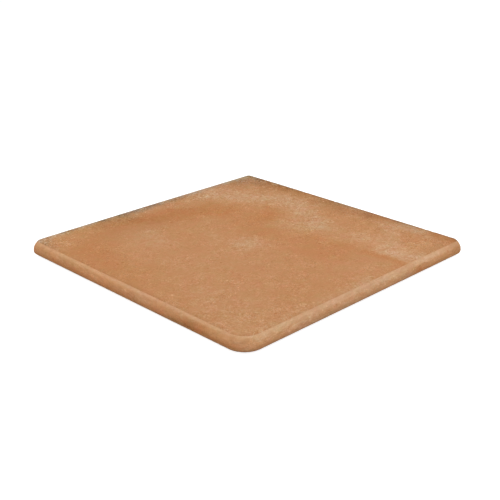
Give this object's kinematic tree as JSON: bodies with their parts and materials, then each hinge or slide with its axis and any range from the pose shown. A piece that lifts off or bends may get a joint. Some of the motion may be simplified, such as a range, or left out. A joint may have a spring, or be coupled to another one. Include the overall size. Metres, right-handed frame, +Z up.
{
  "type": "corner stair tread tile",
  "caption": "Square fired clay tile for the outer corner of a stair tread, with a round nosing along two adjoining sides and two cut sides that meet the next tiles.",
  "frame": {"origin": "centre of the underside, under the middle of the tile's outer square", "axes": "+Z up out of the tread surface; the nosings are on the -X side and the -Y side; the cut sides face +X and +Y"},
  "size_m": [0.33, 0.33, 0.018],
  "materials": {
    "fired_clay": "Unglazed warm orange-brown fired clay with a fine grain, cloudy paler and darker patches, and a slight satin sheen on the nosing."
  },
  "bodies": {
    "root": {"corner_tread": "fired_clay"}
  },
  "joints": []
}
